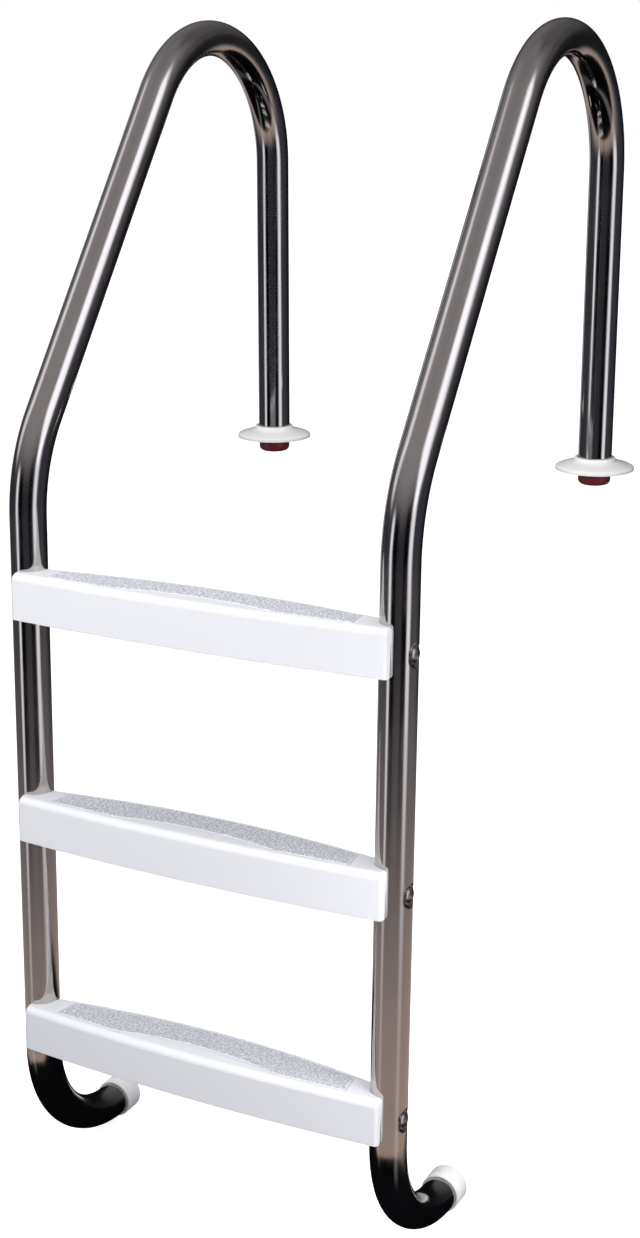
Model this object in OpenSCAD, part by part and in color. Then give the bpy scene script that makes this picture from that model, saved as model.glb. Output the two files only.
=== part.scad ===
// Deck-mounted pool ladder with two bent tube rails and three moulded treads.
// Millimetres. X runs across the ladder, Y towards the deck and Z up.
// The origin is midway between the two deck legs, at deck level.

/* [Tube] */
// Outside diameter of the stainless tube
tube_od = 48.26; // [44:0.01:51]
// Wall thickness of the tube
tube_wall = 1.65; // [1.2:0.05:3]

/* [Rails] */
// Spacing of the two rails, centre to centre
rail_spacing = 533; // [500:1:600]
// Reach from the deck legs forward to the corner of the knee
reach = 650; // [600:1:720]
// Height of the knee's corner above the deck
knee_z = 75; // [40:1:100]
// Lean of the upright towards the deck, from the vertical, in degrees
lean = 1.3; // [0:0.1:2.5]
// Slope of the grab section, from the vertical, in degrees
slope = 36; // [30:1:40]
// Bend radius at the knee, to the centreline
knee_r = 225; // [150:5:260]
// Bend radius over the top, to the centreline
top_r = 178; // [140:1:190]
// Bend radius of the hook at the foot, to the centreline
hook_r = 165; // [130:1:180]
// Depth below the deck at which the hook begins
hook_z = 747; // [715:1:770]
// Straight tube past the hook, inside the bumper
hook_tail = 22; // [16:1:30]
// Length of tube that stands below the deck level
leg_stub = 4; // [2:1:8]

/* [Treads] */
// Height of the treads above one another
tread_pitch = 305; // [295:1:306]
// Depth of the top tread's surface below the deck
tread_top_z = 61.5; // [55:0.5:65]
// Height of a tread's front face
tread_h = 62; // [54:1:66]
// Front edge ahead of the tubes' centre, at mid-width
front_mid = 50; // [46:1:56]
// Front edge ahead of the tubes' centre, at the ends
front_end = 39; // [36:1:42]
// Back edge behind the tubes' centre, at mid-width
back_mid = 31; // [26:1:40]
// Back edge behind the tubes' centre, beside the tubes
back_end = 8; // [6:1:12]
// How far a tread's end reaches past the centre of the tube
end_reach = 2; // [0:0.5:4]
// Wall of the moulding
tread_wall = 4; // [3:0.5:5]
// Radius of the front edge's rounding
nose_r = 9; // [6:0.5:12]
// Radius of the back edge's rounding
heel_r = 5; // [3:0.5:8]
// Number of cross ribs under a tread
rib_count = 7; // [3:2:9]
// Thickness of a rib
rib_t = 3; // [2:0.5:4]

/* [Fasteners] */
// Diameter of the tread bolts
bolt_d = 7.94; // [7:0.01:8.2]
// Length of a tread bolt under its head
bolt_len = 70; // [68:1:74]
// Diameter of a bolt's domed head
head_d = 20; // [17:0.5:22]
// Height of a bolt's domed head
head_h = 4.8; // [3.5:0.1:6]
// Depth of a bolt's centre below the top of its tread
bolt_drop = 37; // [32:1:40]
// Diameter of a washer
washer_d = 24; // [22:0.5:26]
// Thickness of a washer
washer_t = 1.2; // [1:0.1:2]
// Diameter of the dimple that takes a washer and a bolt's head
dimple_d = 28; // [26:0.5:30]
// Depth of that dimple below the tube's crest
dimple_depth = 4.2; // [3:0.1:5]
// Width across the flats of a nut
nut_af = 12.7; // [12:0.1:13]
// Thickness of a nut
nut_t = 6.75; // [6:0.05:7]

/* [Deck and wall fittings] */
// Diameter of an escutcheon's flange
flange_d = 114; // [100:1:124]
// Height of an escutcheon
flange_h = 18; // [16:1:22]
// Wall of an escutcheon
flange_wall = 2.6; // [2:0.1:3]
// Radial gap between an escutcheon and its tube
flange_gap = 0.97; // [0.9:0.01:1.3]
// Outside diameter of a bumper
bumper_d = 55; // [53:0.5:58]
// Length of a bumper
bumper_len = 34; // [30:1:40]
// Length of an end plug below the tube
plug_len = 18; // [12:1:24]

/* [Hidden] */
$fn = 96;
LEVELS = ["top", "middle", "bottom"];
SIDES = ["left", "right"];

eps = 0.01;
tube_r = tube_od / 2;
bore_r = tube_r - tube_wall;
bend_thinning = 0.08;
bend_lap = 0.5;
half_w = rail_spacing / 2;

// Directions in the rail's own plane, as [Y, Z]: up the upright and up the grab section,
// each with the normal on its deck side.
up_dir = [sin(lean), cos(lean)];
up_normal = [cos(lean), -sin(lean)];
grab_dir = [sin(slope), cos(slope)];
grab_normal = [cos(slope), -sin(slope)];

// Corner and bends of a rail, as [Y, Z]
knee = [-reach, knee_z];
knee_tangent = knee_r * tan((slope - lean) / 2);
knee_start = knee - up_dir * knee_tangent;
knee_end = knee + grab_dir * knee_tangent;
knee_centre = knee_start + up_normal * knee_r;
grab_len = (reach - top_r * (1 + cos(slope))) / sin(slope);
top_centre = knee + grab_dir * grab_len + grab_normal * top_r;
hook_start = knee + up_dir * (-hook_z - knee_z) / cos(lean);
hook_centre = hook_start + up_normal * hook_r;
hook_end = hook_centre - [0, hook_r];

// Outline of a tread in plan: the radius of each bowed edge from its rise over its width
tread_end = half_w + end_reach;
front_bow = front_mid - front_end;
front_r = (tread_end ^ 2 + front_bow ^ 2) / (2 * front_bow);
back_inset = 3;
back_half = half_w - tube_r - back_inset;
back_bow = back_mid - back_end;
back_r = (back_half ^ 2 + back_bow ^ 2) / (2 * back_bow);
edge_depth = 150;
front_sweep = 12;
back_sweep = 32;
bow_fn = 360;
saddle_gap = 0.05;
inner_face = half_w - tube_r - saddle_gap;
boss_len = 30;
boss_x = inner_face - boss_len;
rib_rise = 8;

// Bolt, nut and washer along X, measured from the ladder's centre
dimple_x = half_w + tube_r - dimple_depth;
head_x = dimple_x + washer_t;
bolt_slack = 0.6;
bolt_hole_d = bolt_d + bolt_slack;
bolt_past_nut = 2;
nut_x = head_x - bolt_len + bolt_past_nut;
nut_slack = 0.4;
nut_slot_extra = 0.2;
nut_slot_w = nut_af + nut_slack + nut_slot_extra;
thread_gap = 0.06;
nut_pocket_end = 0.3;
hex_corner = 2 / sqrt(3);

// An escutcheon's own radii and heights
flange_r = flange_d / 2;
collar_bore = tube_r + flange_gap;
collar_wall = 4;
collar_r = collar_bore + collar_wall;
collar_h = 6;
rim_h = 4;
rim_w = 2;
dome_rise = flange_h - collar_h - rim_h;
dome_run = flange_r - collar_r - rim_w;
dome_r = (dome_run ^ 2 + dome_rise ^ 2) / (2 * dome_rise);

// Section of the tube's wall, thinned a little on both sides where it is bent.
module tube_section(thinning) {
    difference() {
        circle(r = tube_r - thinning);
        circle(r = bore_r + thinning);
    }
}

// Stands a shape drawn in the rail's plane upright: its x becomes Y and its y becomes Z.
module side_plane() {
    rotate([90, 0, 90]) children();
}

// A straight tube in the rail's plane, from p to q, lapping a little into the bends it meets.
module straight(p, q, lap_start = bend_lap, lap_end = bend_lap) {
    run = q - p;
    translate([p.x, p.y, 0])
        rotate([0, 0, atan2(run.y, run.x)])
            translate([-lap_start, 0, 0]) rotate([0, 90, 0])
                linear_extrude(norm(run) + lap_start + lap_end) tube_section(0);
}

// A bent tube in the rail's plane, from one angle on to another.
module bend(centre, r, from, to) {
    translate([centre.x, centre.y, 0])
        rotate([0, 0, from])
            rotate_extrude(angle = to - from)
                translate([r, 0]) tube_section(bend_thinning);
}

// Moves to a tread's own frame: level with its top, between the tubes, leaning with the upright.
module on_upright(level) {
    z = -tread_top_z - level * tread_pitch;
    y = -reach + (z - knee_z) * tan(lean);
    translate([0, y, z]) rotate([-lean, 0, 0]) children();
}

// Moves from a tread's frame to its bolt line on one side, with X pointing outwards.
module at_bolt(level, side) {
    on_upright(level)
        rotate([0, 0, side > 0 ? 0 : 180])
            translate([0, 0, -bolt_drop]) children();
}

// The wall pressed into the bore behind a bolt's dimple.
module dimple_wall() {
    intersection() {
        translate([half_w, 0, -dimple_d]) cylinder(h = 2 * dimple_d, r = tube_r - tube_wall / 2);
        translate([dimple_x - tube_wall, 0, 0]) rotate([0, 90, 0])
            cylinder(h = tube_r, d = dimple_d + 2 * tube_wall);
    }
}

// One bent tube, dimpled and drilled for its three tread bolts.
module rail(side) {
    color("silver") difference() {
        union() {
            bent_tube(side);
            for (level = [0:2]) at_bolt(level, side) dimple_wall();
        }
        for (level = [0:2]) at_bolt(level, side) {
            translate([half_w - tube_od, 0, 0]) rotate([0, 90, 0])
                cylinder(h = 2 * tube_od, d = bolt_hole_d);
            translate([dimple_x, 0, 0]) rotate([0, 90, 0]) cylinder(h = tube_r, d = dimple_d);
        }
    }
}

// The tube of one rail, from the hook at its foot, over the top and down to the deck.
module bent_tube(side) {
    translate([side * half_w, 0, 0]) side_plane() {
        straight(hook_end, hook_end + [hook_tail, 0], lap_end = 0);
        bend(hook_centre, hook_r, 180 - lean, 270);
        straight(hook_start, knee_start);
        bend(knee_centre, knee_r, 180 - slope, 180 - lean);
        straight(knee_end, knee + grab_dir * grab_len);
        bend(top_centre, top_r, 0, 180 - slope);
        straight([0, top_centre.y], [0, -leg_stub], lap_end = 0);
    }
}

// Section of a tread from its edge inwards, with the top corner rounded.
module edge_section(edge, top, bottom, round_r) {
    arc_steps = 6;
    corner = [for (i = [0:arc_steps]) let (a = 90 * i / arc_steps)
        [edge - round_r * (1 - cos(a)), top - round_r * (1 - sin(a))]];
    polygon(concat([[edge - edge_depth, bottom], [edge, bottom]], corner,
                   [[edge - edge_depth, top]]));
}

// A slab between the tread's two bowed edges; inset moves every face inwards.
module tread_slab(inset, bottom) {
    intersection() {
        translate([0, front_r - front_mid, 0]) rotate([0, 0, 270 - front_sweep / 2])
            rotate_extrude(angle = front_sweep, $fn = bow_fn)
                edge_section(front_r - inset, -inset, bottom, nose_r - inset / 2);
        translate([0, back_mid - back_r, 0]) rotate([0, 0, 90 - back_sweep / 2])
            rotate_extrude(angle = back_sweep, $fn = bow_fn)
                edge_section(back_r - inset, -inset, bottom, heel_r - inset / 2);
    }
}

// The ribs that stiffen a tread, drawn as tall as its cavity.
module tread_ribs() {
    rib_step = 2 * boss_x / (rib_count + 1);
    for (i = [1:rib_count])
        translate([-boss_x + i * rib_step - rib_t / 2, -edge_depth / 2, rib_rise - tread_h])
            cube([rib_t, edge_depth, tread_h]);
    translate([-boss_x, (back_mid - front_mid - rib_t) / 2, rib_rise - tread_h])
        cube([2 * boss_x, rib_t, tread_h]);
}

// The hollow underside of a tread, between its two end bosses.
module tread_cavity() {
    difference() {
        intersection() {
            tread_slab(tread_wall, -tread_h - 1);
            translate([-boss_x, -edge_depth / 2, -tread_h - 1])
                cube([2 * boss_x, edge_depth, tread_h + 1]);
        }
        tread_ribs();
    }
}

// Everything cut out of one end of a tread: the saddle for the tube, the bolt hole and
// the pocket that a nut is pushed up into.
module tread_end_cuts() {
    translate([half_w, 0, -tread_h - 1])
        cylinder(h = tread_h + 2, r = tube_r + saddle_gap);
    translate([inner_face - 1, 0, -tread_h - 1])
        cube([tube_od, edge_depth, tread_h + 2]);
    translate([boss_x - 1, 0, -bolt_drop]) rotate([0, 90, 0])
        cylinder(h = boss_len + 3, d = bolt_hole_d);
    translate([nut_x - nut_pocket_end, 0, -bolt_drop]) {
        rotate([0, 90, 0])
            cylinder(h = nut_t + 2 * nut_pocket_end, d = (nut_af + nut_slack) * hex_corner, $fn = 6);
        translate([0, -nut_slot_w / 2, bolt_drop - tread_h - 1])
            cube([nut_t + 2 * nut_pocket_end, nut_slot_w, tread_h - bolt_drop + 1]);
    }
}

// A moulded tread that saddles both tubes.
module tread(level) {
    color("white") on_upright(level) difference() {
        intersection() {
            tread_slab(0, -tread_h);
            translate([-tread_end, -edge_depth / 2, -tread_h])
                cube([2 * tread_end, edge_depth, tread_h]);
        }
        tread_cavity();
        for (turn = [0, 1]) mirror([turn, 0, 0]) tread_end_cuts();
    }
}

// A bolt with a domed, slotted head.
module bolt(level, side) {
    head_rim = 1;
    dome_h = head_h - head_rim;
    dome_radius = (head_d ^ 2 / 4 + dome_h ^ 2) / (2 * dome_h);
    slot_w = 2;
    slot_depth = 2.4;
    color("gainsboro") at_bolt(level, side) translate([head_x, 0, 0]) {
        difference() {
            rotate([0, 90, 0]) rotate_extrude() intersection() {
                square([head_d / 2, head_h]);
                translate([0, head_h - dome_radius]) circle(r = dome_radius);
            }
            translate([head_h - slot_depth, -slot_w / 2, -head_d / 2])
                cube([slot_depth + 1, slot_w, head_d]);
        }
        translate([-bolt_len, 0, 0]) rotate([0, 90, 0])
            cylinder(h = bolt_len, d = bolt_d);
    }
}

// A flat washer on the floor of a dimple.
module washer(level, side) {
    color("darkgray") at_bolt(level, side)
        translate([dimple_x, 0, 0]) rotate([0, 90, 0]) difference() {
            cylinder(h = washer_t, d = washer_d);
            translate([0, 0, -1]) cylinder(h = washer_t + 2, d = bolt_hole_d);
        }
}

// A hexagon nut, held in its pocket in the tread.
module nut(level, side) {
    color("gray") at_bolt(level, side) translate([nut_x, 0, 0]) rotate([0, 90, 0]) difference() {
        cylinder(h = nut_t, d = nut_af * hex_corner, $fn = 6);
        translate([0, 0, -1]) cylinder(h = nut_t + 2, d = bolt_d + thread_gap);
    }
}

// A rubber cup on the end of the hook, which bears on the pool wall.
module bumper(side) {
    bumper_r = bumper_d / 2;
    edge_r = 5;
    color("whitesmoke") translate([side * half_w, hook_end.x, hook_end.y])
        rotate([-90, 0, 0]) difference() {
            rotate_extrude() union() {
                square([bumper_r, bumper_len - edge_r]);
                square([bumper_r - edge_r, bumper_len]);
                translate([bumper_r - edge_r, bumper_len - edge_r]) circle(r = edge_r);
            }
            translate([0, 0, -1]) cylinder(h = hook_tail + 1, r = tube_r + eps);
        }
}

// Outline of an escutcheon's outside, from the collar down to the rim.
module escutcheon_outline(inset) {
    difference() {
        intersection() {
            square([flange_r - inset, flange_h - collar_h - inset]);
            translate([collar_r, rim_h + dome_rise - dome_r - inset]) circle(r = dome_r);
        }
        if (inset > 0) square([collar_r, flange_h]);
    }
}

// A loose deck flange: a shallow dome with a raised collar round the tube.
module escutcheon(side) {
    lip_r = 2;
    color("whitesmoke") translate([side * half_w, 0, 0]) rotate_extrude() difference() {
        union() {
            escutcheon_outline(0);
            square([collar_r, flange_h - lip_r]);
            square([collar_r - lip_r, flange_h]);
            translate([collar_r - lip_r, flange_h - lip_r]) circle(r = lip_r);
        }
        translate([0, -1]) escutcheon_outline(flange_wall - 1);
        translate([0, -1]) square([collar_bore, flange_h + 2]);
    }
}

// A red plug that closes the end of a deck leg.
module leg_plug(side) {
    plug_inset = 0.6;
    plug_r = tube_r - plug_inset;
    edge_r = 3;
    spigot_len = 25;
    spigot_gap = 0.05;
    color("darkred") translate([side * half_w, 0, -leg_stub]) {
        rotate([180, 0, 0]) rotate_extrude() union() {
            square([plug_r, plug_len - edge_r]);
            square([plug_r - edge_r, plug_len]);
            translate([plug_r - edge_r, plug_len - edge_r]) circle(r = edge_r);
        }
        cylinder(h = spigot_len, r = bore_r - spigot_gap);
    }
}

rail(-1);  // rail_left
rail(1);  // rail_right
bumper(-1);  // bumper_left
bumper(1);  // bumper_right
escutcheon(-1);  // escutcheon_left
escutcheon(1);  // escutcheon_right
leg_plug(-1);  // leg_plug_left
leg_plug(1);  // leg_plug_right
for (i = [0:2]) {
    tread(i);
    for (s = [0, 1]) {
        place = str(LEVELS[i], "_", SIDES[s]);
        bolt(i, 2 * s - 1);
        washer(i, 2 * s - 1);
        nut(i, 2 * s - 1);
    }
}
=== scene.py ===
"""Surfaces, finishes and studio for a deck-mounted pool ladder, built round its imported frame.

Metres, in the frame's own axes: X across the ladder, Y from the water to the deck, Z up. The origin is midway
between the two deck legs, at deck level.
"""

import math

import bpy
import numpy as np
from mathutils import Matrix, Vector


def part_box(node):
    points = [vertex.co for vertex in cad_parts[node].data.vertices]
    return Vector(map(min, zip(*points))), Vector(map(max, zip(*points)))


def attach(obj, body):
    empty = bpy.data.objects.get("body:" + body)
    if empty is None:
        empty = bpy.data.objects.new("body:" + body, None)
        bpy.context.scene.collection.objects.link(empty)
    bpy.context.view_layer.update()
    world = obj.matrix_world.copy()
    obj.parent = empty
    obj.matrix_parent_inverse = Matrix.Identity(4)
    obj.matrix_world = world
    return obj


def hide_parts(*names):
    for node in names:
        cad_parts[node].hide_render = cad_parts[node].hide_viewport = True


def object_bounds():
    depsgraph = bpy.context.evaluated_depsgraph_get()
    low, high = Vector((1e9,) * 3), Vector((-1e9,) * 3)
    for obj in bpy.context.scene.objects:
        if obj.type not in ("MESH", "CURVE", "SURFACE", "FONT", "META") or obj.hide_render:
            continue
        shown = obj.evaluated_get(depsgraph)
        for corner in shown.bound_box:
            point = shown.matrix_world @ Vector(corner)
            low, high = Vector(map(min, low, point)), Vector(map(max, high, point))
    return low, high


bl_info = {
    "name": "Pool ladder",
    "version": (1, 0, 0),
    "blender": (4, 5, 0),
    "location": "3D View > Sidebar > Pool ladder",
    "description": "Makes the tubes, treads, fittings and finishes of a pool ladder",
    "category": "Object",
}

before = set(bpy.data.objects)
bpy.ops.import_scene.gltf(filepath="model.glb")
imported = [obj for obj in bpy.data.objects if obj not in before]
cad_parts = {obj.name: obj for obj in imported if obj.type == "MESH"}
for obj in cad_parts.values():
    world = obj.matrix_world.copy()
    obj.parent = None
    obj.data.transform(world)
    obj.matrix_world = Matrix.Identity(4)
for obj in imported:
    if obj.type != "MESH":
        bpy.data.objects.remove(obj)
cad_low, cad_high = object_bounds()
rail_low, rail_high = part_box("rail_right")

SIDES = {"left": -1, "right": 1}
LEVELS = ("top", "middle", "bottom")
MM = 0.001
TUBE_RADIUS = (rail_high.x - rail_low.x) / 2
RAIL_X = (rail_high.x + rail_low.x) / 2
LADDER_BODY = "ladder"


def linear(hex_colour):
    """The linear red, green and blue of an sRGB hex value.

    Near black it is a share, one part in 12.92, and above that a power of 2.4."""
    srgb = np.array([int(hex_colour[i : i + 2], 16) for i in (1, 3, 5)]) / 255
    low, high = srgb / 12.92, ((srgb + 0.055) / 1.055) ** 2.4
    return tuple(float(v) for v in np.where(srgb <= 0.04045, low, high))


def length(name, description, default, smallest=0.0):
    """A length property in metres."""
    return bpy.props.FloatProperty(
        name=name, description=description, default=default, min=smallest, precision=4, unit="LENGTH"
    )


def angle(name, description, degrees):
    """An angle property, given in degrees."""
    return bpy.props.FloatProperty(
        name=name, description=description, default=math.radians(degrees), subtype="ANGLE"
    )


def colour(name, description, hex_colour):
    """A colour property, given as an sRGB hex value."""
    return bpy.props.FloatVectorProperty(
        name=name, description=description, default=linear(hex_colour), size=3, min=0, max=1, subtype="COLOR"
    )


class LadderRailSizes(bpy.types.PropertyGroup):
    """The run of one rail's centreline, in its own upright plane."""

    reach: length("Reach", "From the deck legs forward to the corner of the knee", 0.650)
    knee_height: length("Knee height", "The knee's corner above the deck", 0.075)
    lean: angle("Lean", "The upright's lean towards the deck, from the vertical", 1.3)
    slope: angle("Slope", "The grab section's slope, from the vertical", 36)
    knee_radius: length("Knee radius", "Bend radius at the knee", 0.225)
    top_radius: length("Top radius", "Bend radius over the top", 0.178)
    hook_radius: length("Hook radius", "Bend radius at the foot", 0.165)
    hook_depth: length("Hook depth", "Depth below the deck at which the hook begins", 0.747)
    hook_tail: length("Hook tail", "Straight tube past the hook, in the bumper", 0.022)
    leg_stub: length("Leg stub", "Tube below the deck level", 0.004)
    wall: length("Wall", "Wall thickness of the tube", 0.00165)
    dimple: length("Dimple", "Radius of the dimple pressed in round a bolt's head", 0.014)


class LadderTreadSizes(bpy.types.PropertyGroup):
    """The outline and texture of a moulded tread."""

    top_depth: length("Top tread", "The top tread's surface below the deck", 0.0615)
    pitch: length("Pitch", "Height of the treads above one another", 0.305)
    height: length("Height", "Height of the front face", 0.062)
    end: length("Half length", "From the ladder's middle to a tread's end", 0.2685)
    inner: length("Inner end", "From the middle to the face beside the tube", 0.2413)
    front_mid: length("Front, middle", "Front edge ahead of the tubes, at mid-width", 0.050)
    front_end: length("Front, end", "Front edge ahead of the tubes, at the ends", 0.039)
    back_mid: length("Back, middle", "Back edge behind the tubes, at mid-width", 0.031)
    back_end: length("Back, end", "Back edge behind the tubes, beside them", 0.008)
    wall: length("Wall", "Wall of the moulding", 0.004)
    nose: length("Nose radius", "Rounding of the front edge", 0.009)
    heel: length("Heel radius", "Rounding of the back edge", 0.005)
    boss: length("Boss", "Length of the solid block that takes a bolt", 0.030)
    pebble: length("Pebble spacing", "Spacing of the raised anti-slip pebbles", 0.0046)
    pebble_height: length("Pebble height", "Height of the raised pebbles", 0.0010)


class LadderFinish(bpy.types.PropertyGroup):
    """The colours of the ladder's materials."""

    steel: colour("Stainless steel", "Polished stainless tube", "#c9c4bf")
    tread: colour("Tread plastic", "White moulded treads", "#f4f5f8")
    flange: colour("Flange plastic", "White moulded deck flanges", "#fbfaf7")
    bumper: colour("Bumper rubber", "White rubber caps on the hooks", "#fcfcfb")
    plug: colour("Plug rubber", "Dark red plugs in the deck legs", "#6b2229")


class LadderStudio(bpy.types.PropertyGroup):
    """The camera and the studio."""

    aim: bpy.props.FloatVectorProperty(
        name="Aim", description="The point in the middle of the picture", default=(-0.148, -0.070, -0.267),
        size=3, subtype="TRANSLATION", unit="LENGTH",
    )
    azimuth: angle("Azimuth", "The camera's turn to the right of the ladder's front", 27.886)
    pitch: angle("Pitch", "The camera's tilt below the horizon", 16.41)
    distance: length("Distance", "From the camera to the aim", 3.0)
    lens: bpy.props.FloatProperty(
        name="Lens", description="Focal length on a 36 mm sensor", default=55.95, min=10, unit="CAMERA"
    )
    backdrop: colour("Backdrop", "The plain ground behind the ladder", "#ffffff")


# Surfaces


def grid(rows, columns, closed):
    """The quads of a grid of points, row after row. Each joins a point, its neighbour in the row and the two
    that stand beside them in the next row. A closed grid's last column joins its first."""
    across = np.arange(columns if closed else columns - 1)
    start = np.arange(rows - 1)[:, None] * columns
    near, far = start + across, start + (across + 1) % columns
    return np.stack([near, far, far + columns, near + columns], -1).reshape(-1, 4)


def fan(ring, centre):
    """The triangles from a closed ring of points to one point in its middle."""
    return np.stack([ring, np.roll(ring, -1), np.full(len(ring), centre)], -1)


def signed_volume(points, faces):
    """A closed surface's volume: the sum, over its faces cut in triangles, of a sixth of a . (b x c)."""
    total = 0.0
    for group in faces:
        for k in range(1, group.shape[1] - 1):
            a, b, c = points[group[:, 0]], points[group[:, k]], points[group[:, k + 1]]
            total += np.einsum("ij,ij->", a, np.cross(b, c)) / 6
    return total


def add_piece(name, points, faces, material, body, node, layers=None, sharp=35):
    """Puts a closed surface into the scene, turned outwards, as the piece that stands for a CAD node.

    faces is a list of arrays of quads or triangles. layers holds what the finish reads besides the position:
    a number or a vector for each point, by name. Edges that turn by more than sharp degrees stay sharp."""
    if signed_volume(points, faces) < 0:
        faces = [group[:, ::-1] for group in faces]
    sizes = np.concatenate([np.full(len(g), g.shape[1]) for g in faces])
    corners = np.concatenate([g.ravel() for g in faces]).astype(np.int32)
    mesh = bpy.data.meshes.new(name)
    mesh.vertices.add(len(points))
    mesh.vertices.foreach_set("co", points.astype(np.float32).ravel())
    mesh.loops.add(len(corners))
    mesh.loops.foreach_set("vertex_index", corners)
    mesh.polygons.add(len(sizes))
    mesh.polygons.foreach_set("loop_start", (np.cumsum(sizes) - sizes).astype(np.int32))
    mesh.update(calc_edges=True)
    for key, values in (layers or {}).items():
        kind, field = ("FLOAT", "value") if values.ndim == 1 else ("FLOAT_VECTOR", "vector")
        layer = mesh.attributes.new(key, kind, "POINT")
        layer.data.foreach_set(field, values.astype(np.float32).ravel())
    if mesh.validate():
        raise RuntimeError(f"{name} has faces that Blender had to mend")
    mesh.shade_smooth()
    mesh.set_sharp_from_angle(angle=math.radians(sharp))
    mesh.materials.append(material)
    piece = bpy.data.objects.new(name, mesh)
    bpy.context.scene.collection.objects.link(piece)
    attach(piece, body)
    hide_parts(node)


def rounded(corners, radii, steps=6):
    """A profile whose corners are rounded. Each arc touches both sides of its corner, at the radius over the
    tangent of half the corner's angle from it, and is drawn about a centre on the corner's bisector."""
    corners, out = np.asarray(corners, float), []
    for i, radius in enumerate(radii):
        here = corners[i]
        if radius <= 0:
            out.append(here[None])
            continue
        back, ahead = corners[i - 1] - here, corners[(i + 1) % len(corners)] - here
        back, ahead = back / np.linalg.norm(back), ahead / np.linalg.norm(ahead)
        half = math.acos(float(np.clip(back @ ahead, -1, 1))) / 2
        start, end = here + back * radius / math.tan(half), here + ahead * radius / math.tan(half)
        bisector = (back + ahead) / np.linalg.norm(back + ahead)
        centre = here + bisector * radius / math.sin(half)
        first = math.atan2(*(start - centre)[::-1])
        sweep = (math.atan2(*(end - centre)[::-1]) - first + math.pi) % (2 * math.pi) - math.pi
        turn = first + sweep * np.linspace(0, 1, steps + 1)
        out.append(centre + radius * np.stack([np.cos(turn), np.sin(turn)], -1))
    return np.concatenate(out)


def turned(profile, steps, closed):
    """A surface of revolution about Z: each point (r, z) of the profile goes round as (r cos t, r sin t, z).
    A closed profile joins up with itself, and an open one ends on the axis at both ends."""
    t = np.linspace(0, 2 * math.pi, steps, endpoint=False)
    r, z = profile[:, :1], profile[:, 1:]
    points = np.stack([r * np.cos(t), r * np.sin(t), z + 0 * t], -1).reshape(-1, 3)
    rows = len(profile)
    quads = grid(rows, steps, True)
    if closed:
        join = grid(2, steps, True)
        join = np.where(join < steps, join + (rows - 1) * steps, join - steps)
        return points, [np.concatenate([quads, join])]
    ends = np.array([[0, 0, profile[0, 1]], [0, 0, profile[-1, 1]]])
    first, last = np.arange(steps), np.arange(steps) + (rows - 1) * steps
    caps = np.concatenate([fan(first[::-1], len(points)), fan(last, len(points) + 1)])
    return np.concatenate([points, ends]), [quads, caps]


def dimpled(points, sizes):
    """Presses a flat-floored dimple into a tube's outer side round each bolt. Within its radius, a point
    further out than the floor is brought in to it, and the wall blends from the one to the other."""
    points = points.copy()
    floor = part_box("washer_top_right")[0].x
    within, beyond = sizes.dimple - 0.8 * MM, sizes.dimple + 1.0 * MM
    for level in LEVELS:
        low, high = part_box(f"bolt_{level}_right")
        y, z = (low.y + high.y) / 2, (low.z + high.z) / 2
        far = np.hypot(points[:, 1] - y, points[:, 2] - z)
        inside = 1 - smooth(far, within, beyond)
        pressed = np.minimum(points[:, 0], floor)
        points[:, 0] += (pressed - points[:, 0]) * inside
    return points


def rail_line(sizes, spacing=0.010, fine_spacing=0.0015, arc_step=math.radians(2)):
    """The rail's centreline in its plane, from the tail in the bumper to the foot of the deck leg.

    It is a run of straight lines and arcs. Along it the heading turns by the distance over the bend radius,
    and the line is placed so that it ends below the origin. Returns the points as (y, z), the headings and
    the distances."""
    bend = sizes.slope - sizes.lean
    tangent = sizes.knee_radius * math.tan(bend / 2)
    grab = (sizes.reach - sizes.top_radius * (1 + math.cos(sizes.slope))) / math.sin(sizes.slope)
    upright = (sizes.hook_depth + sizes.knee_height) / math.cos(sizes.lean)
    leg_top = sizes.knee_height + grab * math.cos(sizes.slope) - sizes.top_radius * math.sin(sizes.slope)
    # The length, the bend radius and the point spacing of each straight or bend
    stretches = [
        (sizes.hook_tail, 0, spacing),
        (sizes.hook_radius * (math.pi / 2 + sizes.lean), sizes.hook_radius, 0),
        (upright - tangent, 0, fine_spacing),
        (sizes.knee_radius * bend, sizes.knee_radius, 0),
        (grab - tangent, 0, spacing),
        (sizes.top_radius * (math.pi - sizes.slope), sizes.top_radius, 0),
        (leg_top + sizes.leg_stub, 0, spacing),
    ]
    point, heading, travelled = np.zeros(2), math.pi, 0.0
    points, headings, distances = [point[None]], [[heading]], [[0.0]]
    for run, radius, step in stretches:
        step = radius * arc_step if radius else step
        s = np.linspace(0, run, max(2, math.ceil(run / step) + 1))[1:]
        if radius:
            turn = heading - s / radius
            left = np.array([-math.sin(heading), math.cos(heading)])
            centre = point - radius * left
            here = centre + radius * np.stack([-np.sin(turn), np.cos(turn)], -1)
        else:
            turn = np.full(len(s), heading)
            here = point + s[:, None] * np.array([math.cos(heading), math.sin(heading)])
        points.append(here)
        headings.append(turn)
        distances.append(travelled + s)
        point, heading, travelled = here[-1], turn[-1], travelled + run
    line = np.concatenate(points)
    line += np.array([0, -sizes.leg_stub]) - line[-1]
    return line, np.concatenate(headings), np.concatenate(distances)


def upright_y(sizes, z):
    """Where an upright's axis stands at a height: it leaves the knee's corner at the lean."""
    return -sizes.reach + (z - sizes.knee_height) * math.tan(sizes.lean)


# Finishes


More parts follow.
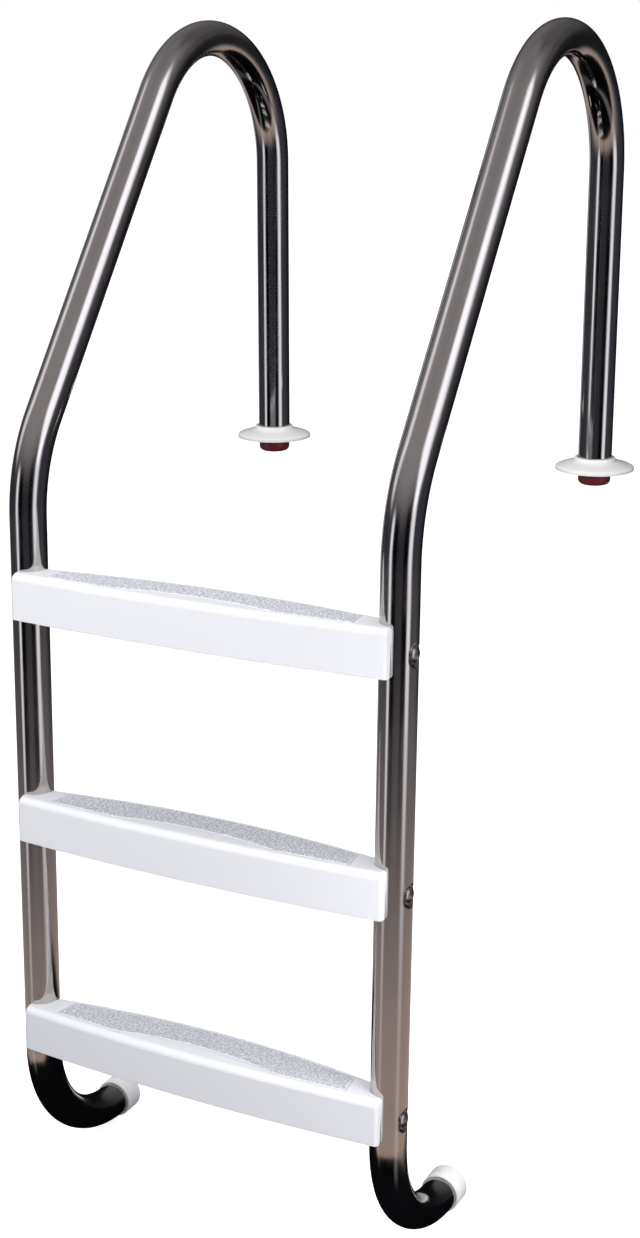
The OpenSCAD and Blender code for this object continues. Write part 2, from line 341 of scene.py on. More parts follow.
def add_node(tree, kind, settings=None, links=None, stops=()):
    """Adds a node to a tree. settings are its properties or its sockets' values, and links join a socket of
    it to an output of an earlier node, by the socket's name or number. stops are a ramp's positions, each
    with a hex colour or a grey that is already linear."""
    node = tree.nodes.new(kind)
    for key, value in (settings or {}).items():
        if isinstance(key, str) and hasattr(node, key):
            setattr(node, key, value)
        else:
            node.inputs[key].default_value = value
    for key, output in (links or {}).items():
        tree.links.new(output, node.inputs[key])
    while 0 < len(stops) > len(node.color_ramp.elements):
        node.color_ramp.elements.new(0.5)
    for i, (position, shade) in enumerate(stops):
        rgb = linear(shade) if isinstance(shade, str) else (shade,) * 3
        node.color_ramp.elements[i].position = position
        node.color_ramp.elements[i].color = (*rgb, 1)
    return node


def new_material(name, settings):
    """A material with one Principled shader, set as given. Returns the material, its tree and the shader."""
    material = bpy.data.materials.new(name)
    material.use_nodes = True
    tree = material.node_tree
    shader = tree.nodes["Principled BSDF"]
    for key, value in settings.items():
        shader.inputs[key].default_value = value
    return material, tree, shader


def polished_stainless(finish):
    """Welded stainless tube, ground and buffed along its length.

    The eye gets a mirror with fine lengthwise lines, a slight waviness that bends the reflections, and dull
    patches where hands and water have been."""
    material, tree, shader = new_material(
        "polished_stainless_tube",
        {"Base Color": (*finish.steel, 1), "Metallic": 1.0, "Roughness": 0.1, "Anisotropic": 0.25},
    )
    run = add_node(tree, "ShaderNodeAttribute", {"attribute_name": "run"}).outputs["Vector"]
    # Buffing lines 0.8 mm apart are too fine to show, so they are drawn 2 mm apart and half a metre long
    lines_at = add_node(
        tree, "ShaderNodeMapping", {"Scale": (1 / (2 * MM), 1 / (2 * MM), 1 / 0.5)}, {"Vector": run}
    )
    lines = add_node(
        tree, "ShaderNodeTexNoise", {"Scale": 1.0, "Detail": 3.0}, {"Vector": lines_at.outputs[0]}
    )
    # Dull patches about 60 mm across
    patches = add_node(tree, "ShaderNodeTexNoise", {"Scale": 1 / 0.06, "Detail": 4.0}, {"Vector": run})
    dullness = add_node(
        tree, "ShaderNodeMath", {"operation": "MULTIPLY"}, {0: lines.outputs[0], 1: patches.outputs[0]}
    )
    buffed_to_dull = {"From Min": 0.12, "From Max": 0.42, "To Min": 0.07, "To Max": 0.2}
    roughness = add_node(tree, "ShaderNodeMapRange", buffed_to_dull, {"Value": dullness.outputs[0]})
    tree.links.new(roughness.outputs[0], shader.inputs["Roughness"])
    # Waves 25 mm round the tube and 150 mm along it, left by the grinding belt
    waves_at = add_node(
        tree, "ShaderNodeMapping", {"Scale": (1 / 0.025, 1 / 0.025, 1 / 0.15)}, {"Vector": run}
    )
    waves = add_node(
        tree, "ShaderNodeTexNoise", {"Scale": 1.0, "Detail": 1.0}, {"Vector": waves_at.outputs[0]}
    )
    swell = add_node(
        tree, "ShaderNodeBump", {"Strength": 0.5, "Distance": 0.25 * MM}, {"Height": waves.outputs[0]}
    )
    over_swell = {"Height": lines.outputs[0], "Normal": swell.outputs[0]}
    grain = add_node(tree, "ShaderNodeBump", {"Strength": 0.35, "Distance": 0.02 * MM}, over_swell)
    tree.links.new(grain.outputs[0], shader.inputs["Normal"])
    return material


def moulded_plastic(name, colour_value, roughness, grain_size, grain_depth):
    """Moulded plastic or rubber: an even colour, a soft gloss and the fine etched grain of the mould."""
    material, tree, shader = new_material(name, {"Base Color": (*colour_value, 1), "Roughness": roughness})
    place = add_node(tree, "ShaderNodeTexCoord").outputs["Object"]
    grain = add_node(
        tree, "ShaderNodeTexNoise", {"Scale": 1 / grain_size, "Detail": 2.0}, {"Vector": place}
    )
    # Handling and flow marks about 40 mm across change the gloss a little
    marks = add_node(tree, "ShaderNodeTexNoise", {"Scale": 1 / 0.04, "Detail": 3.0}, {"Vector": place})
    spread = {"From Min": 0.3, "From Max": 0.7, "To Min": roughness * 0.85, "To Max": roughness * 1.2}
    gloss = add_node(tree, "ShaderNodeMapRange", spread, {"Value": marks.outputs[0]})
    bump = add_node(
        tree, "ShaderNodeBump", {"Strength": 0.5, "Distance": grain_depth}, {"Height": grain.outputs[0]}
    )
    tree.links.new(gloss.outputs[0], shader.inputs["Roughness"])
    tree.links.new(bump.outputs[0], shader.inputs["Normal"])
    return material


def tumbled_stainless(finish):
    """Stainless bolts, nuts and washers: bright, with the tumbling marks of small hardware."""
    material, tree, shader = new_material(
        "tumbled_stainless_fastener",
        {"Base Color": (*finish.steel, 1), "Metallic": 1.0, "Roughness": 0.3},
    )
    place = add_node(tree, "ShaderNodeTexCoord").outputs["Object"]
    # Tumbling marks about 1.5 mm across
    marks = add_node(
        tree, "ShaderNodeTexNoise", {"Scale": 1 / (1.5 * MM), "Detail": 3.0}, {"Vector": place}
    )
    bright_to_dull = {"From Min": 0.3, "From Max": 0.7, "To Min": 0.22, "To Max": 0.42}
    roughness = add_node(tree, "ShaderNodeMapRange", bright_to_dull, {"Value": marks.outputs[0]})
    tree.links.new(roughness.outputs[0], shader.inputs["Roughness"])
    return material


# Pieces


class LADDER_OT_rails(bpy.types.Operator):
    """Makes the two bent tubes"""

    bl_idname = "ladder.rails"
    bl_label = "Make rails"

    def execute(self, context):
        sizes = context.scene.ladder_rail
        steel = polished_stainless(context.scene.ladder_finish)
        line, heading, distance = rail_line(sizes)
        bore = TUBE_RADIUS - sizes.wall
        # Each end is open: the wall turns in over its rim and down the bore to a floor inside
        bore_depth = 40 * MM
        ends = []
        for i, way in ((0, 1), (-1, -1)):
            inward = way * np.array([math.cos(heading[i]), math.sin(heading[i])])
            ends.append((line[i] + inward * bore_depth, line[i]))
        centres = np.concatenate([[ends[0][0], ends[0][1]], line, [ends[1][1], ends[1][0]]])
        headings = np.concatenate([heading[[0, 0]], heading, heading[[-1, -1]]])
        radii = np.concatenate([[bore, bore], np.full(len(line), TUBE_RADIUS), [bore, bore]])
        runs = np.concatenate([distance[[0, 0]], distance, distance[[-1, -1]]])
        steps = 96
        t = np.linspace(0, 2 * math.pi, steps, endpoint=False)
        # A ring is the circle r (cos t across + sin t left), with left square to the heading
        out = radii[:, None] * np.sin(t)
        x = radii[:, None] * np.cos(t)
        y = centres[:, :1] - out * np.sin(headings)[:, None]
        z = centres[:, 1:] + out * np.cos(headings)[:, None]
        run = np.stack([x, out, runs[:, None] + 0 * t], -1).reshape(-1, 3)
        rings = len(centres)
        quads = grid(rings, steps, True)
        count = rings * steps
        caps = np.concatenate(
            [fan(np.arange(steps)[::-1], count), fan(np.arange(steps) + count - steps, count + 1)]
        )
        middles = [[RAIL_X, *ends[0][0]], [RAIL_X, *ends[1][0]]]
        points = np.concatenate([np.stack([RAIL_X + x, y, z], -1).reshape(-1, 3), middles])
        points = dimpled(points, sizes)
        run = np.concatenate([run, [[0, 0, runs[0]], [0, 0, runs[-1]]]])
        for side, sign in SIDES.items():
            add_piece(
                f"tube_{side}", points * (sign, 1, 1), [quads, caps], steel, LADDER_BODY,
                f"rail_{side}", layers={"run": run}, sharp=60,
            )
        return {"FINISHED"}


def tread_plan(tread):
    """The two edges of a tread in plan, as arrays of (x, y) that pair up across it, from left to right.

    The front edge is a parabola that bows forward, with a rounded corner at each end. The back edge is one
    that bows backward; beside the tube it steps in to the tube's axis and follows the saddle round to the end
    face."""
    end, saddle = tread.end, TUBE_RADIUS + 0.05 * MM
    corner, corner_points, saddle_points = 4 * MM, 7, 16
    step = 1.0 * MM

    def front(x):
        return -tread.front_mid + (tread.front_mid - tread.front_end) * (x / end) ** 2

    def back(x):
        return tread.back_mid - (tread.back_mid - tread.back_end) * (x / (RAIL_X - TUBE_RADIUS)) ** 2

    # Right half, from the middle outwards. Along the middle the two edges pair up at nearly the same x
    straight_x = np.arange(0, tread.inner - 2 * MM, step)
    front_x, back_x = straight_x, straight_x * tread.inner / straight_x[-1]
    back_y = back(back_x)
    # Past it, the back edge steps in and then runs round the saddle, while the front edge goes on
    last = 2 * math.pi - math.acos((end - RAIL_X) / saddle)
    turn = np.linspace(math.pi, last, saddle_points)
    step_in = np.array([[tread.inner, 4 * MM], [tread.inner, 0.0]])
    round_x = np.concatenate([step_in[:, 0], RAIL_X + saddle * np.cos(turn)])
    round_y = np.concatenate([step_in[:, 1], saddle * np.sin(turn)])
    ahead_x = np.linspace(straight_x[-1] + step, end - corner, len(round_x) - corner_points)
    corner_turn = np.linspace(-math.pi / 2, 0, corner_points + 1)[1:]
    fx = np.concatenate([front_x, ahead_x, end - corner + corner * np.cos(corner_turn)])
    fy = np.concatenate(
        [front(front_x), front(ahead_x), front(end - corner) + corner * (1 + np.sin(corner_turn))]
    )
    half_front = np.stack([fx, fy], -1)
    half_back = np.stack([np.concatenate([back_x, round_x]), np.concatenate([back_y, round_y])], -1)
    mirror = np.array([-1, 1])
    return (
        np.concatenate([half_front[:0:-1] * mirror, half_front]),
        np.concatenate([half_back[:0:-1] * mirror, half_back]),
    )


def pebbles(x, y, tread, seed):
    """The height of a pebbled texture: one round pebble near each point of a jittered square net, each a dome
    that falls as one less the square of the distance over its radius."""
    pitch = tread.pebble
    random = np.random.default_rng(seed)
    # The net repeats after this many pebbles. Jitter and radius are shares of the spacing
    size = 256
    jitter = random.uniform(-0.32, 0.32, (size, size, 2))
    radius = random.uniform(0.40, 0.54, (size, size))
    tall = random.uniform(0.6, 1.0, (size, size))
    column, row = np.floor(x / pitch).astype(int), np.floor(y / pitch).astype(int)
    height = np.zeros_like(x)
    for dx in (-1, 0, 1):
        for dy in (-1, 0, 1):
            i, j = column + dx, row + dy
            at = (i % size, j % size)
            seed_x = (i + 0.5 + jitter[at][..., 0]) * pitch
            seed_y = (j + 0.5 + jitter[at][..., 1]) * pitch
            far = np.hypot(x - seed_x, y - seed_y) / (radius[at] * pitch)
            height = np.maximum(height, tall[at] * np.clip(1 - far**2, 0, None))
    return height * tread.pebble_height


def smooth(value, low, high):
    """Rises from 0 at low to 1 at high along 3 t squared less 2 t cubed."""
    t = np.clip((value - low) / (high - low), 0, 1)
    return t * t * (3 - 2 * t)


def tread_relief(x, y, front_y, back_y, tread, seed):
    """The relief of a tread's top, pebbles inside a field with a groove round it, and its share of painted
    shade.

    The field stops short of the rounded edges, at a slanting line near each end, and behind a lens-shaped
    smooth pad at the middle of the front edge. How far a point is inside is the least of the distances to
    those lines. The groove is a bell curve over that distance, and painted shade greys it and the gaps
    between the pebbles, where shade falls."""
    nose_band, heel_band = 12 * MM, 7 * MM
    field_end, slant = 221 * MM, 0.12
    pad_half, pad_depth = 118 * MM, 17 * MM
    pad = pad_depth * np.clip(1 - (x / pad_half) ** 2, 0, None)
    to_front = y - front_y - nose_band - pad
    to_back = back_y - heel_band - y
    to_end = field_end - slant * (y - front_y) - np.abs(x)
    inside = np.minimum(np.minimum(to_front, to_back), to_end)
    groove_width, groove_depth, groove_shade = 1.0 * MM, 1.0 * MM, 0.8
    groove = groove_depth * np.exp(-((inside / groove_width) ** 2))
    pebble_band = 1.5 * MM
    field = smooth(inside, pebble_band, 2 * pebble_band)
    texture = pebbles(x, y, tread, seed) * field
    # Painted shade, strongest in the groove and between the pebbles
    painted_shade = field * (1 - texture / tread.pebble_height) + groove_shade * groove / groove_depth
    return texture - groove, np.clip(painted_shade, 0, 1)


def tread_surface(tread, seed):
    """A tread in its own frame: x across, y back from the tubes' axes and z up from its top surface.

    Each column of points is one section, taken between the paired points of the two edges: up the front face,
    round the nose, over the top with its relief, round the heel, down the back and across the ribbed
    underside. Returns the points, the faces and each point's share of painted shade, which greys the
    recesses of the top."""
    front, back = tread_plan(tread)
    columns = len(front)
    mid_x = (front[:, :1] + back[:, :1]) / 2
    depth = np.linalg.norm(back - front, axis=1)[:, None]
    toward = (back - front) / depth
    saddled = smooth(np.abs(mid_x), tread.inner - 3 * MM, tread.inner + 1 * MM)
    nose = tread.nose
    heel = tread.heel * (1 - saddled) + 0.8 * MM * saddled
    height, foot = tread.height, 1.2 * MM
    face_rows, top_rows = 5, 80

    # Each part of a section, as distances from the front edge and as heights. Its bends are quarter circles
    quarter = np.linspace(0, math.pi / 2, 9)[None]
    bend, bend_back = quarter[:, ::4], quarter[:, ::-4]
    rise = np.linspace(-height + foot, -nose, face_rows)[None]
    along = np.linspace(0, 1, top_rows + 2)[None, 1:-1]
    fall = np.linspace(0, 1, face_rows)[None, 1:]
    level = np.zeros_like(depth)
    front_d = [level + foot * (1 - np.sin(bend)), level + 0 * rise, level + nose * (1 - np.cos(quarter))]
    front_z = [
        level - height + foot * (1 - np.cos(bend)), level + rise, level - nose * (1 - np.sin(quarter))
    ]
    top_d = nose + (depth - nose - heel) * along
    heel_d = depth - heel * (1 - np.cos(quarter[:, ::-1]))
    heel_z = -heel * (1 - np.sin(quarter[:, ::-1]))
    back_z = -heel + (-height + foot + heel) * fall
    back_d = depth + 0 * back_z
    foot_d = depth - foot * (1 - np.sin(bend_back))[:, 1:]
    foot_z = level - height + foot * (1 - np.cos(bend_back))[:, 1:]
    d = np.concatenate([*front_d, top_d, heel_d, back_d, foot_d], 1)
    z = np.concatenate([*front_z, 0 * top_d, heel_z, back_z, foot_z], 1)
    x = front[:, :1] + toward[:, :1] * d
    y = front[:, 1:] + toward[:, 1:] * d
    relief, painted_shade = tread_relief(x, y, front[:, 1:], back[:, 1:], tread, seed)
    on_top = np.zeros(z.shape[1], bool)
    on_top[sum(part.shape[1] for part in front_d) :][: top_d.shape[1]] = True
    z = z + np.where(on_top[None], relief, 0)
    painted_shade = np.where(on_top[None], painted_shade, 0)
    # The end's own edge is rounded too: the top drops along a quarter circle over the last few millimetres
    edge = 3 * MM
    past = np.clip(np.abs(x) - (tread.end - edge), 0, edge)
    z = z - np.where(z > -height / 2, edge - np.sqrt(edge**2 - past**2), 0)

    under_y, under_z = tread_underside(tread, front, back)
    share = (under_y - front[:, 1:]) / (back[:, 1:] - front[:, 1:])
    under_x = front[:, :1] + (back[:, :1] - front[:, :1]) * share
    x, y, z = (np.concatenate(pair, 1) for pair in ((x, under_x), (y, under_y), (z, under_z)))
    painted_shade = np.concatenate([painted_shade, 0 * under_z], 1)
    rows = x.shape[1]
    points = np.stack([x, y, z], -1).reshape(-1, 3)
    quads = grid(columns, rows, True)
    middles = np.array([points[:rows].mean(0), points[-rows:].mean(0)])
    count = columns * rows
    caps = np.concatenate(
        [fan(np.arange(rows)[::-1], count), fan(np.arange(rows) + count - rows, count + 1)]
    )
    return np.concatenate([points, middles]), [quads, caps], np.concatenate([painted_shade.ravel(), [0, 0]])


def tread_underside(tread, front, back):
    """The heights of a tread's underside, from its back edge to its front edge, as y and z for each column.

    A cell is a rim or boss at the full depth, a rib 8 mm higher, the cavity's ceiling one wall below the top,
    or the slot that a nut is pushed up into. Rows come in pairs 0.4 mm apart, so that each wall is nearly
    upright."""
    middle = (front[:, :1] + back[:, :1]) / 2
    far = np.abs(middle)
    draft = 0.4 * MM
    rib_y = (tread.back_mid - tread.front_mid) / 2
    rib_half, slot_half, cross_ribs = 1.5 * MM, 6.65 * MM, 7
    boss_start = RAIL_X - TUBE_RADIUS - tread.boss
    ribs = np.linspace(-boss_start, boss_start, cross_ribs + 2)[1:-1]
    rib_z, ceiling, slot_z = -tread.height + 8 * MM, -tread.wall, -30 * MM
    on_rib = (np.abs(middle - ribs[None]).min(1) <= rib_half + 0.1 * MM)[:, None]
    in_cavity = far < boss_start
    nut_low, nut_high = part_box("nut_top_right")
    in_slot = (far > nut_low.x - 0.4 * MM) & (far < nut_high.x + 0.4 * MM)
    deep = np.where(in_cavity, np.where(on_rib, rib_z, ceiling), -tread.height)
    long_rib = np.where(in_cavity, rib_z, -tread.height)
    nut_slot = np.where(in_slot, slot_z, deep)
    rim = np.full_like(deep, -tread.height)
    front_y, back_y = front[:, 1:], back[:, 1:]
    rows = [
        (back_y - tread.wall, rim),
        (back_y - tread.wall - draft, deep),
        (0 * far + slot_half + draft, deep),
        (0 * far + slot_half, nut_slot),
        (0 * far - slot_half, nut_slot),
        (0 * far - slot_half - draft, deep),
        (0 * far + rib_y + rib_half + draft, deep),
        (0 * far + rib_y + rib_half, long_rib),
        (0 * far + rib_y - rib_half, long_rib),
        (0 * far + rib_y - rib_half - draft, deep),
        (front_y + tread.wall + draft, deep),
        (front_y + tread.wall, rim),
    ]
    y, z = np.concatenate([r[0] for r in rows], 1), np.concatenate([r[1] for r in rows], 1)
    # Beside the tube the tread is narrow, so the rows close up against the back edge and keep their order
    spare = 1.3 * MM + 0.15 * MM * np.arange(len(rows))[None]
    return np.minimum(y, back_y - spare), z


class LADDER_OT_treads(bpy.types.Operator):
    """Makes the three moulded treads"""

    bl_idname = "ladder.treads"
    bl_label = "Make treads"

    def execute(self, context):
        tread, rail = context.scene.ladder_tread, context.scene.ladder_rail
        # Glass-filled thermoplastic with a satin face; its grain is 0.6 mm
        plastic = moulded_plastic(
            "moulded_tread_plastic", context.scene.ladder_finish.tread, 0.42, 0.6 * MM, 0.03 * MM
        )
        # Painted shade: the colour turns grey in the groove and between the pebbles, where shade falls
        tree = plastic.node_tree
        share = add_node(tree, "ShaderNodeAttribute", {"attribute_name": "painted_shade"}).outputs["Fac"]
        unshaded_colour, shaded_colour = (*context.scene.ladder_finish.tread, 1), (*linear("#c2c4ca"), 1)
        shade = add_node(tree, "ShaderNodeMix", {"data_type": "RGBA", 6: unshaded_colour, 7: shaded_colour}, {0: share})
        tree.links.new(shade.outputs[2], tree.nodes["Principled BSDF"].inputs["Base Color"])
        for level, name in enumerate(LEVELS):
            z = -tread.top_depth - level * tread.pitch
            points, faces, painted_shade = tread_surface(tread, seed=11 + level)
            place = Matrix.Translation((0, upright_y(rail, z), z)) @ Matrix.Rotation(-rail.lean, 4, "X")
            turn = np.array(place)
            points = points @ turn[:3, :3].T + turn[:3, 3]
            add_piece(
                f"step_{name}", points, faces, plastic, LADDER_BODY, f"tread_{name}",
                layers={"painted_shade": painted_shade},
            )
        return {"FINISHED"}


class LADDER_OT_flanges(bpy.types.Operator):
    """Makes the two loose deck flanges"""

    bl_idname = "ladder.flanges"
    bl_label = "Make deck flanges"

    def execute(self, context):
        # High-gloss moulded ABS, with hardly any grain
        plastic = moulded_plastic(
            "gloss_flange_plastic", context.scene.ladder_finish.flange, 0.2, 1.2 * MM, 0.01 * MM
        )
        # Outside from the foot of the rim to the lip, down the bore, and back along the underside
        outline = np.array(
            [
                (56.9, 0.0), (56.9, 4.2), (52.5, 6.6), (43.5, 9.3), (35.0, 11.3), (30.6, 12.6), (29.0, 18.0),
                (25.15, 18.0), (25.15, 13.0), (27.6, 9.4), (34.0, 8.4), (42.5, 6.7), (50.5, 4.2), (54.2, 2.4),
                (54.2, 0.0),
            ]
        ) * MM
        radii = np.array([0.4, 2.2, 12, 30, 12, 2.0, 1.5, 0.9, 0.4, 1.0, 4, 20, 8, 0.8, 0.3]) * MM
        profile = rounded(outline, radii)
        for side, sign in SIDES.items():
            points, faces = turned(profile, 128, closed=True)
            points = points + np.array([sign * RAIL_X, 0, 0])
            add_piece(
                f"flange_{side}", points, faces, plastic, f"flange_{side}_body",
                f"escutcheon_{side}",
            )
        return {"FINISHED"}


class LADDER_OT_bumpers(bpy.types.Operator):
    """Makes the two rubber caps on the hooks"""

    bl_idname = "ladder.bumpers"
    bl_label = "Make wall bumpers"

    def execute(self, context):
        # Moulded EPDM rubber, satin, with a 0.8 mm grain
        rubber = moulded_plastic(
            "white_bumper_rubber", context.scene.ladder_finish.bumper, 0.5, 0.8 * MM, 0.04 * MM
        )
        low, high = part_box("bumper_right")
        outer, long = (high.x - low.x) / 2, high.y - low.y
        pocket, pocket_depth = TUBE_RADIUS + 0.05 * MM, context.scene.ladder_rail.hook_tail + 0.05 * MM
        bead = outer - 1.0 * MM
        corners = [
            (1 * MM, pocket_depth), (pocket, pocket_depth), (pocket, 0), (outer, 0), (outer, 5.5 * MM),
            (bead, 6.3 * MM), (bead, 7.1 * MM), (outer, 7.9 * MM), (outer, long), (1 * MM, long),
        ]
        radii = np.array([0, 1.0, 0.8, 1.4, 0.6, 0.3, 0.3, 0.6, 5.5, 0]) * MM
        points, faces = turned(rounded(corners, radii), 96, closed=False)
        # The axis turns from Z to Y: (x, y, z) becomes (x, z, -y)
        points = np.stack([points[:, 0], points[:, 2], -points[:, 1]], -1)
        for side, sign in SIDES.items():
            place = np.array([sign * RAIL_X, low.y, (low.z + high.z) / 2])
            add_piece(
                f"cap_{side}", points + place, faces, rubber, LADDER_BODY, f"bumper_{side}"
            )
        return {"FINISHED"}


class LADDER_OT_plugs(bpy.types.Operator):
    """Makes the two red plugs in the deck legs"""

    bl_idname = "ladder.plugs"
    bl_label = "Make leg plugs"

    def execute(self, context):
        rail = context.scene.ladder_rail
        # Moulded red rubber, half matt, with a 0.9 mm grain
        rubber = moulded_plastic(
            "red_plug_rubber", context.scene.ladder_finish.plug, 0.38, 0.9 * MM, 0.04 * MM
        )
        low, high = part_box("leg_plug_right")
        head, spigot = (high.x - low.x) / 2, TUBE_RADIUS - rail.wall - 0.05 * MM
        corners = [
            (1 * MM, high.z), (spigot, high.z), (spigot, -rail.leg_stub), (head, -rail.leg_stub),
            (head, low.z), (1 * MM, low.z),
        ]
        points, faces = turned(rounded(corners, np.array([0, 2, 0, 0.8, 7, 0]) * MM), 96, closed=False)
        for side, sign in SIDES.items():
            add_piece(
                f"plug_{side}", points + np.array([sign * RAIL_X, 0, 0]), faces, rubber,
                LADDER_BODY, f"leg_plug_{side}",
            )
        return {"FINISHED"}


class LADDER_OT_fasteners(bpy.types.Operator):
    """Finishes the bolts, washers and nuts"""

    bl_idname = "ladder.fasteners"
    bl_label = "Finish fasteners"

    def execute(self, context):
        steel = tumbled_stainless(context.scene.ladder_finish)
        for name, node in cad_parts.items():
            if name.split("_")[0] not in ("bolt", "washer", "nut"):
                continue
            for slot in node.material_slots:
                slot.material = steel
        return {"FINISHED"}


# Studio


def studio_light(name, place, aim, size, power):
    """A soft square light that looks from one point to another, too soft to show in the steel."""
    lamp = bpy.data.lights.new(name, "AREA")
    lamp.shape = "SQUARE"
    lamp.size = size
    lamp.energy = power
    light = bpy.data.objects.new(name, lamp)
    light.location = place
    light.rotation_euler = (Vector(aim) - Vector(place)).to_track_quat("-Z", "Y").to_euler()
    light.visible_camera = False
    light.visible_glossy = False
    bpy.context.scene.collection.objects.link(light)


# The room by height, as the sine of the height: 0 is straight down, 0.5 the horizon and 1 straight up
ROOM = (
    (0.00, "#060607"), (0.18, "#0b0b0d"), (0.213, "#2a2624"), (0.231, "#ae9d95"), (0.243, "#baa79e"),
    (0.273, "#ac9c99"), (0.313, "#837d7f"), (0.345, "#686567"), (0.375, "#48484e"), (0.405, "#40404a"),
    (0.50, "#3b3b44"), (0.57, "#4a4a50"), (0.646, "#6c6a6e"), (0.787, "#959296"), (0.91, "#9c989b"),
    (1.00, "#858287"),
)
# What stands round the room: shares of light by compass, in degrees from the side on which the camera stands
# and rising to its right, and the window of heights that they hold in. A window is the two heights between
# which it opens, the two between which it closes, all in degrees, and what is left of it below
GAPS = (
    (
        (-180, 0.1), (-150, 0.15), (-128, 0.8), (-82, 1.0), (-48, 0.02), (-34, 0.02), (-20, 0.75), (2, 0.75),
        (16, 0.05), (34, 0.05), (70, 1.1), (100, 1.0), (126, 0.35), (150, 0.1), (180, 0.1),
    ),
    (-24, -16, 10, 26, 0.0),
)
FAR_SIDE = (
    ((-180, 0.6), (-145, 0.75), (-118, 1.0), (78, 1.0), (112, 0.35), (150, 0.4), (180, 0.6)),
    (10, 26, 60, 85, 0.0),
)
LOW_PANELS = (
    (
        (-165, 0.0), (-158, 0.4), (-148, 0.4), (-142, 0.0), (-74, 0.0), (-67, 1.0), (-60, 1.0), (-53, 0.0),
        (33, 0.0), (43, 1.0), (54, 1.0), (64, 0.0),
    ),
    (-28, -13, 10, 20, 0.13),
)
HIGH_PANELS = (
    ((-116, 0.0), (-106, 0.6), (-96, 0.6), (-86, 0.0), (34, 0.0), (46, 1.0), (66, 1.0), (80, 0.0)),
    (6, 18, 42, 56, 0.0),
)


